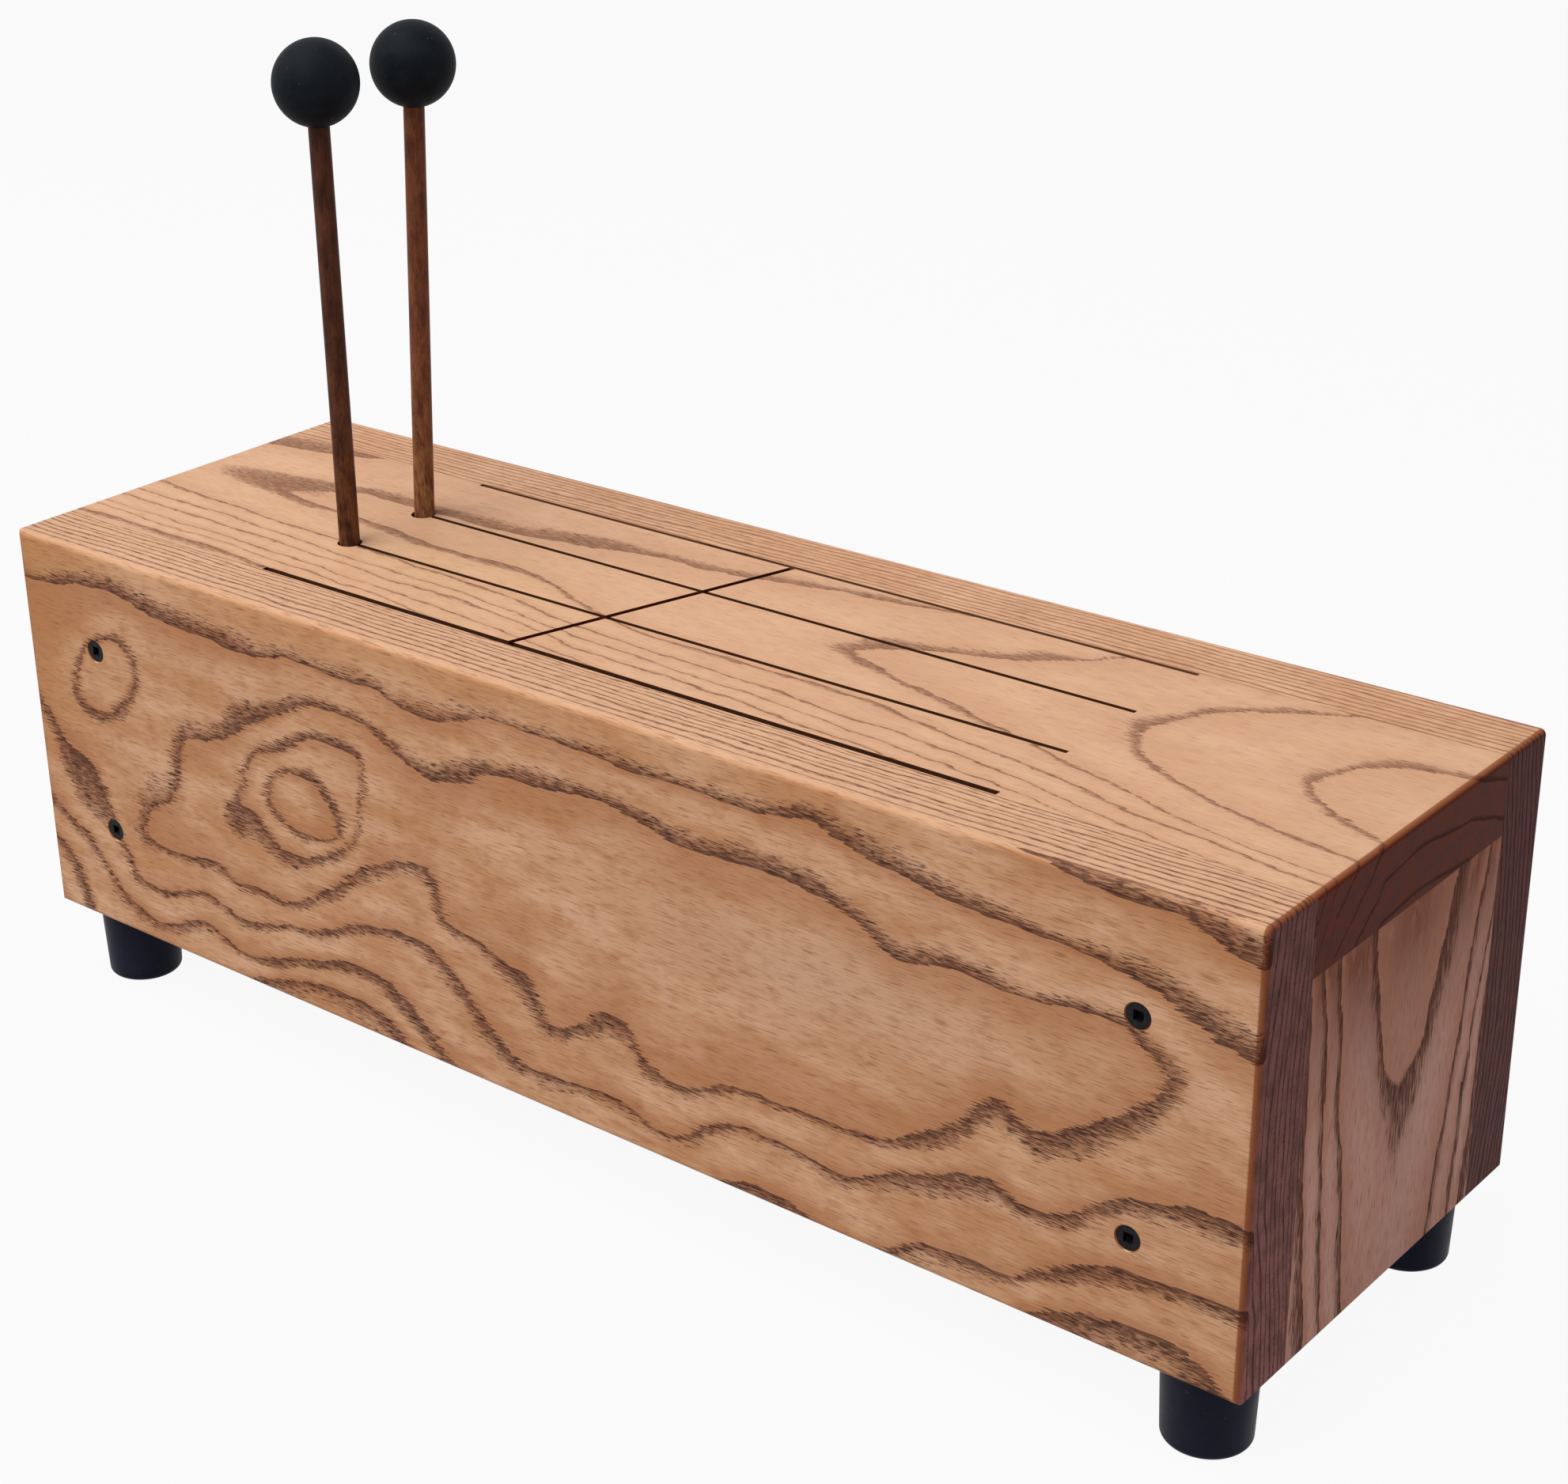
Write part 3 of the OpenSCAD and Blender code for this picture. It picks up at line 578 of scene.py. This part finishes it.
TOP_FRONT_RINGS = [
    (-6, [(-260, 150), (260, 190)]),
    (-5, [(-260, 133), (-220, 133), (-170, 135), (-130, 137), (-80, 141), (0, 147), (260, 165)]),
    (-4, [(-260, 127), (-200, 128), (-150, 130), (-110, 132), (-70, 136), (0, 141), (260, 158)]),
    (-3, [(-260, 122), (-200, 123), (-150, 124), (-130, 126), (-90, 127), (-50, 131), (-20, 134),
         (10, 137), (60, 140), (120, 144), (260, 152)]),
    (-2, [(-260, 114), (-200, 115), (-160, 116), (-120, 118), (-80, 119), (-45, 122), (-10, 127),
         (20, 128), (60, 130), (100, 134), (140, 138), (170, 140), (260, 147)]),
    (-1, [(-260, 107), (-220, 107), (-180, 109), (-140, 111), (-100, 113), (-60, 115), (-30, 119),
         (0, 121), (50, 123), (100, 127), (150, 132), (185, 138), (220, 141), (260, 143)]),
    (0, [(-260, 96), (-230, 97), (-200, 99), (-150, 101), (-120, 103), (-90, 104), (-60, 107),
         (-38, 111), (0, 114), (50, 116), (80, 118), (110, 120), (150, 125), (180, 130),
         (210, 136), (240, 139), (260, 140)]),
    (1, [(-260, 60), (-215, 73), (-190, 79), (-150, 80), (-120, 84), (-90, 82), (-65, 86),
         (-45, 94), (-28, 100), (-5, 104), (20, 105), (50, 103), (80, 105), (110, 109),
         (150, 115), (180, 121), (210, 127), (260, 133)]),
    (2, [(-260, 20), (30, 65), (58, 76), (75, 81), (85, 86), (110, 91), (125, 97), (145, 102),
         (160, 107), (180, 112), (200, 118), (225, 124), (260, 127)]),
    (3, [(-260, 0), (100, 20), (155, 62), (166, 76), (175, 88), (190, 97), (205, 103), (225, 109),
         (260, 114)]),
    (4, [(-260, -20), (150, 10), (215, 62), (224, 78), (235, 88), (250, 95), (260, 101)]),
    (5, [(-260, -60), (260, 0)]),
]
TOP_EDGE_RINGS = [(0, 0), (26, 2)]
TOP_TAN = (0.70, 0.360, 0.195)
GOLD_TAN = (0.80, 0.480, 0.235)
BARE_TAN = (0.88, 0.640, 0.460)
TOP_END_GRAIN = (0.165, 0.022, 0.004)

top_ash = ash(
    "top_board_ash", ("X", 1, 0.0), ("Y", -1, BOX_BACK), ("Z", -1, BOX_TOP),
    TOP_BACK_RINGS, TOP_FRONT_RINGS, TOP_EDGE_RINGS, BOX_LEFT, BOX_LONG,
    smears=[((-50, 52), (34, 9), 8, 0.35), ((-210, 70), (66, 17), 0, 1.5),
            ((-140, 60), (66, 10), 0, 0.80), ((-80, 50), (44, 12), 0, 0.60),
            ((-115, 83), (66, 9), 0, 0.80), ((-232, 34), (56, 14), 0, 0.80),
            ((72, 74), (20, 14), 0, 0.55),
            ((64, 64), (16, 10), 0, 0.40), ((108, 42), (36, 16), 30, 0.30),
            ((170, 66), (22, 28), 0, 0.22), ((196, 36), (26, 14), 25, 0.22),
            ((230, 72), (16, 20), 0, 0.12), ((0, 128), (900, 34), 0, -0.05)],
    tints=[((-110, 100), (200, 66), 0, 1.3, GOLD_TAN), ((262, 90), (46, 110), 0, 0.6, BARE_TAN)],
    seed=17.0, colours=(TOP_TAN, PALE_TAN, WARM_TAN), ends=TOP_END_GRAIN,
    lit_low_ends=TOP_END_GRAIN,
    dash=(4.0, 0.42), stagger=6.0, thick=0.08, bold=0.80, flecks=0.36, wall_axis="Y")
give("left_tongue_board", top_ash)
give("right_tongue_board", top_ash)


# Side screws
#
# Black square-drive wood screws, countersunk just below the faces of the front and back.

def black_metal(name, base, worn):
    """Blackened steel with faint rubbed places."""
    finish, tree, surface = start_finish(name)
    where = tree.nodes.new("ShaderNodeTexCoord")
    place = tree.nodes.new("ShaderNodeVectorMath")
    place.operation = "SCALE"
    place.inputs["Scale"].default_value = 1000.0
    tree.links.new(where.outputs["Object"], place.inputs[0])
    rub = speckle(tree, place.outputs[0], (1.4, 1.4, 1.4), 3.0, 0.65)
    feed(tree, surface.inputs["Base Color"], blend_colours(tree, between(tree, rub, 0.45, 0.75), base, worn))
    feed(tree, surface.inputs["Roughness"], between(tree, rub, 0.3, 0.7, 0.36, 0.52))
    surface.inputs["Specular IOR Level"].default_value = 0.10
    return finish


screw_black = black_metal("black_screw_finish", (0.007, 0.007, 0.009), (0.026, 0.025, 0.026))
give("front_screws", screw_black)
give("back_screws", screw_black)


# Feet
#
# Tapered black rubber feet, moulded with a rounded lower edge, each held up into the box by
# a plated screw and a washer in its recess.

def rubber(name, base, bloom, size, gloss, shine, marks):
    """Moulded rubber with a fine matt grain and faint pale marks of handling."""
    finish, tree, surface = start_finish(name)
    where = tree.nodes.new("ShaderNodeTexCoord")
    place = tree.nodes.new("ShaderNodeVectorMath")
    place.operation = "SCALE"
    place.inputs["Scale"].default_value = 1000.0
    tree.links.new(where.outputs["Object"], place.inputs[0])
    cloud = speckle(tree, place.outputs[0], (size, size, size * 0.6), 3.0, 0.6)
    mark = speckle(tree, place.outputs[0], (2.6, 2.6, 1.2), 2.0, 0.7, (4.0, 1.0, 2.0))
    grain = speckle(tree, place.outputs[0], (0.35, 0.35, 0.35), 1.0)
    colour = blend_colours(tree, between(tree, cloud, 0.35, 0.75), base, bloom)
    colour = blend_colours(tree, between(tree, mark, 0.66, 0.80, 0.0, marks), colour, (0.11, 0.11, 0.115))
    feed(tree, surface.inputs["Base Color"], colour)
    feed(tree, surface.inputs["Roughness"], between(tree, cloud, 0.3, 0.7, gloss, gloss + 0.12))
    surface.inputs["Specular IOR Level"].default_value = shine
    relief = tree.nodes.new("ShaderNodeBump")
    relief.inputs["Strength"].default_value = 0.2
    relief.inputs["Distance"].default_value = 0.0001
    feed(tree, relief.inputs["Height"], grain)
    feed(tree, surface.inputs["Normal"], relief.outputs["Normal"])
    return finish


foot_rubber = rubber("foot_rubber", (0.0070, 0.0080, 0.0190), (0.013, 0.015, 0.033), 14.0, 0.40, 0.08, 0.3)
for corner in ("front_left", "front_right", "back_left", "back_right"):
    give(corner + "_foot", foot_rubber)


def plated_steel(name):
    """Bright zinc plating, slightly clouded."""
    finish, tree, surface = start_finish(name)
    where = tree.nodes.new("ShaderNodeTexCoord")
    place = tree.nodes.new("ShaderNodeVectorMath")
    place.operation = "SCALE"
    place.inputs["Scale"].default_value = 1000.0
    tree.links.new(where.outputs["Object"], place.inputs[0])
    cloud = speckle(tree, place.outputs[0], (2.5, 2.5, 2.5), 4.0, 0.6)
    feed(tree, surface.inputs["Base Color"],
         blend_colours(tree, between(tree, cloud, 0.35, 0.7), (0.55, 0.56, 0.57), (0.66, 0.65, 0.60)))
    feed(tree, surface.inputs["Roughness"], between(tree, cloud, 0.3, 0.7, 0.26, 0.42))
    surface.inputs["Metallic"].default_value = 1.0
    return finish


zinc = plated_steel("zinc_plating")
give("foot_screws", zinc)
give("foot_washers", zinc)


# Mallets
#
# Two hard rubber balls, each pushed on the end of a stained hardwood stick. They stand loose
# in the holes of the top, the rear one leaning a little.

def stick_wood(name, dark, light, foot, lean, seed):
    """Stained hardwood: blotches and short flecks along the stick, paler where it is handled
    least, just above the drum."""
    finish, tree, surface = start_finish(name)
    where = tree.nodes.new("ShaderNodeTexCoord")
    turn = tree.nodes.new("ShaderNodeMapping")
    turn.inputs["Rotation"].default_value = (0.0, math.radians(lean), 0.0)
    turn.inputs["Scale"].default_value = (1000.0, 1000.0, 1000.0)
    tree.links.new(where.outputs["Object"], turn.inputs["Vector"])
    place = turn.outputs["Vector"]
    streak = speckle(tree, place, (1.8, 1.8, 16.0), 3.0, 0.6, (seed, 0.0, 0.0))
    mottle = speckle(tree, place, (4.0, 4.0, 9.0), 4.0, 0.65, (0.0, seed, 0.0))
    fine = speckle(tree, place, (0.35, 0.35, 2.6), 1.0, 0.5, (0.0, 0.0, seed))
    heights = tree.nodes.new("ShaderNodeSeparateXYZ")
    tree.links.new(place, heights.inputs["Vector"])
    share = sum_up(tree, "ADD", sum_up(tree, "MULTIPLY", streak, 0.4), sum_up(tree, "MULTIPLY", mottle, 0.6))
    share = between(tree, share, 0.38, 0.62)
    low = between(tree, heights.outputs["Z"], 180.0, 265.0, 1.0, 0.0, smooth=True)
    colour = blend_colours(tree, share, dark, blend_colours(tree, low, light, foot))
    colour = blend_colours(tree, between(tree, fine, 0.52, 0.72, 0.0, 0.55), colour, tuple(c * 0.5 for c in dark))
    feed(tree, surface.inputs["Base Color"], colour)
    feed(tree, surface.inputs["Roughness"], between(tree, mottle, 0.3, 0.7, 0.38, 0.55))
    surface.inputs["Specular IOR Level"].default_value = 0.08
    relief = tree.nodes.new("ShaderNodeBump")
    relief.inputs["Strength"].default_value = 0.25
    relief.inputs["Distance"].default_value = 0.0002
    feed(tree, relief.inputs["Height"], fine)
    feed(tree, surface.inputs["Normal"], relief.outputs["Normal"])
    return finish


front_stick_wood = stick_wood("front_stick_wood", (0.048, 0.017, 0.011), (0.135, 0.047, 0.024),
                              (0.250, 0.096, 0.040), 0.0, 3.0)
rear_stick_wood = stick_wood("rear_stick_wood", (0.125, 0.040, 0.022), (0.300, 0.106, 0.048),
                             (0.480, 0.235, 0.100), 2.0, 8.0)
give("front_mallet_stick", front_stick_wood)
give("rear_mallet_stick", rear_stick_wood)


ball_rubber = rubber("ball_rubber", (0.006, 0.008, 0.011), (0.013, 0.016, 0.020), 9.0, 0.50, 0.05, 0.5)
give("front_mallet_ball", ball_rubber)
give("rear_mallet_ball", ball_rubber)


# Floor, light and camera
#
# A plain pale floor under soft studio light from the upper left, seen from the photograph's
# place. None of it is part of the drum.

FLOOR_HALF = 20.0
bpy.ops.object.select_all(action="DESELECT")
bpy.ops.mesh.primitive_plane_add(size=2 * FLOOR_HALF, location=(0, 0, 0))
floor = bpy.context.object
floor.name = "studio_floor"
floor_paint, tree, surface = start_finish("floor_paint")
surface.inputs["Base Color"].default_value = (0.50, 0.50, 0.53, 1)
surface.inputs["Roughness"].default_value = 0.9
glow = tree.nodes.new("ShaderNodeEmission")
glow.inputs["Color"].default_value = (1, 1, 1, 1)
mixed = tree.nodes.new("ShaderNodeMixShader")
rays = tree.nodes.new("ShaderNodeLightPath")
seen = sum_up(tree, "MAXIMUM", rays.outputs["Is Camera Ray"], rays.outputs["Is Glossy Ray"])
seen = sum_up(tree, "MAXIMUM", seen, rays.outputs["Is Transmission Ray"])
feed(tree, mixed.inputs[0], sum_up(tree, "MULTIPLY", seen, 0.93))
tree.links.new(surface.outputs["BSDF"], mixed.inputs[1])
tree.links.new(glow.outputs["Emission"], mixed.inputs[2])
out = [n for n in tree.nodes if n.type == "OUTPUT_MATERIAL"][0]
tree.links.new(mixed.outputs[0], out.inputs["Surface"])
floor.data.materials.append(floor_paint)

world = bpy.data.worlds.new("studio")
world.use_nodes = True
tree = world.node_tree
sky = tree.nodes["Background"]
rays = tree.nodes.new("ShaderNodeLightPath")
seen = sum_up(tree, "MAXIMUM", rays.outputs["Is Camera Ray"], rays.outputs["Is Glossy Ray"])
seen = sum_up(tree, "MAXIMUM", seen, rays.outputs["Is Transmission Ray"])
feed(tree, sky.inputs["Strength"], between(tree, seen, 0.0, 1.0, 0.20, 1.0))
sky.inputs["Color"].default_value = (1.0, 1.0, 1.0, 1)
bpy.context.scene.world = world


def lamp(name, place, aim, size, power, colour):
    """A soft rectangular lamp that faces a point."""
    light = bpy.data.lights.new(name, "AREA")
    light.shape = "RECTANGLE"
    light.size, light.size_y = size
    light.energy = power
    light.color = colour
    holder = bpy.data.objects.new(name, light)
    holder.location = place
    holder.rotation_euler = (Vector(aim) - Vector(place)).to_track_quat("-Z", "Y").to_euler()
    bpy.context.scene.collection.objects.link(holder)


lamp("window", (-0.52, -1.07, 2.45), (0, 0, 0.1), (2.4, 2.4), 74, (1, 0.985, 0.96))

CAMERA_RIGHT = (0.75770668, 0.65195942, -0.02880114)
CAMERA_DOWN = (0.25104998, -0.33193869, -0.90928027)
CAMERA_AHEAD = (-0.60237405, 0.68173721, -0.41518656)
camera_data = bpy.data.cameras.new("camera")
camera = bpy.data.objects.new("camera", camera_data)
bpy.context.scene.collection.objects.link(camera)
camera.matrix_world = Matrix((
    (CAMERA_RIGHT[0], -CAMERA_DOWN[0], -CAMERA_AHEAD[0], 0.59043),
    (CAMERA_RIGHT[1], -CAMERA_DOWN[1], -CAMERA_AHEAD[1], -0.70126),
    (CAMERA_RIGHT[2], -CAMERA_DOWN[2], -CAMERA_AHEAD[2], 0.54536),
    (0, 0, 0, 1)))
camera_data.lens = 67.65
camera_data.sensor_width = 36
camera_data.shift_x = 0.0894
camera_data.shift_y = 0.0205
bpy.context.scene.camera = camera
bpy.context.scene.view_settings.view_transform = "Standard"
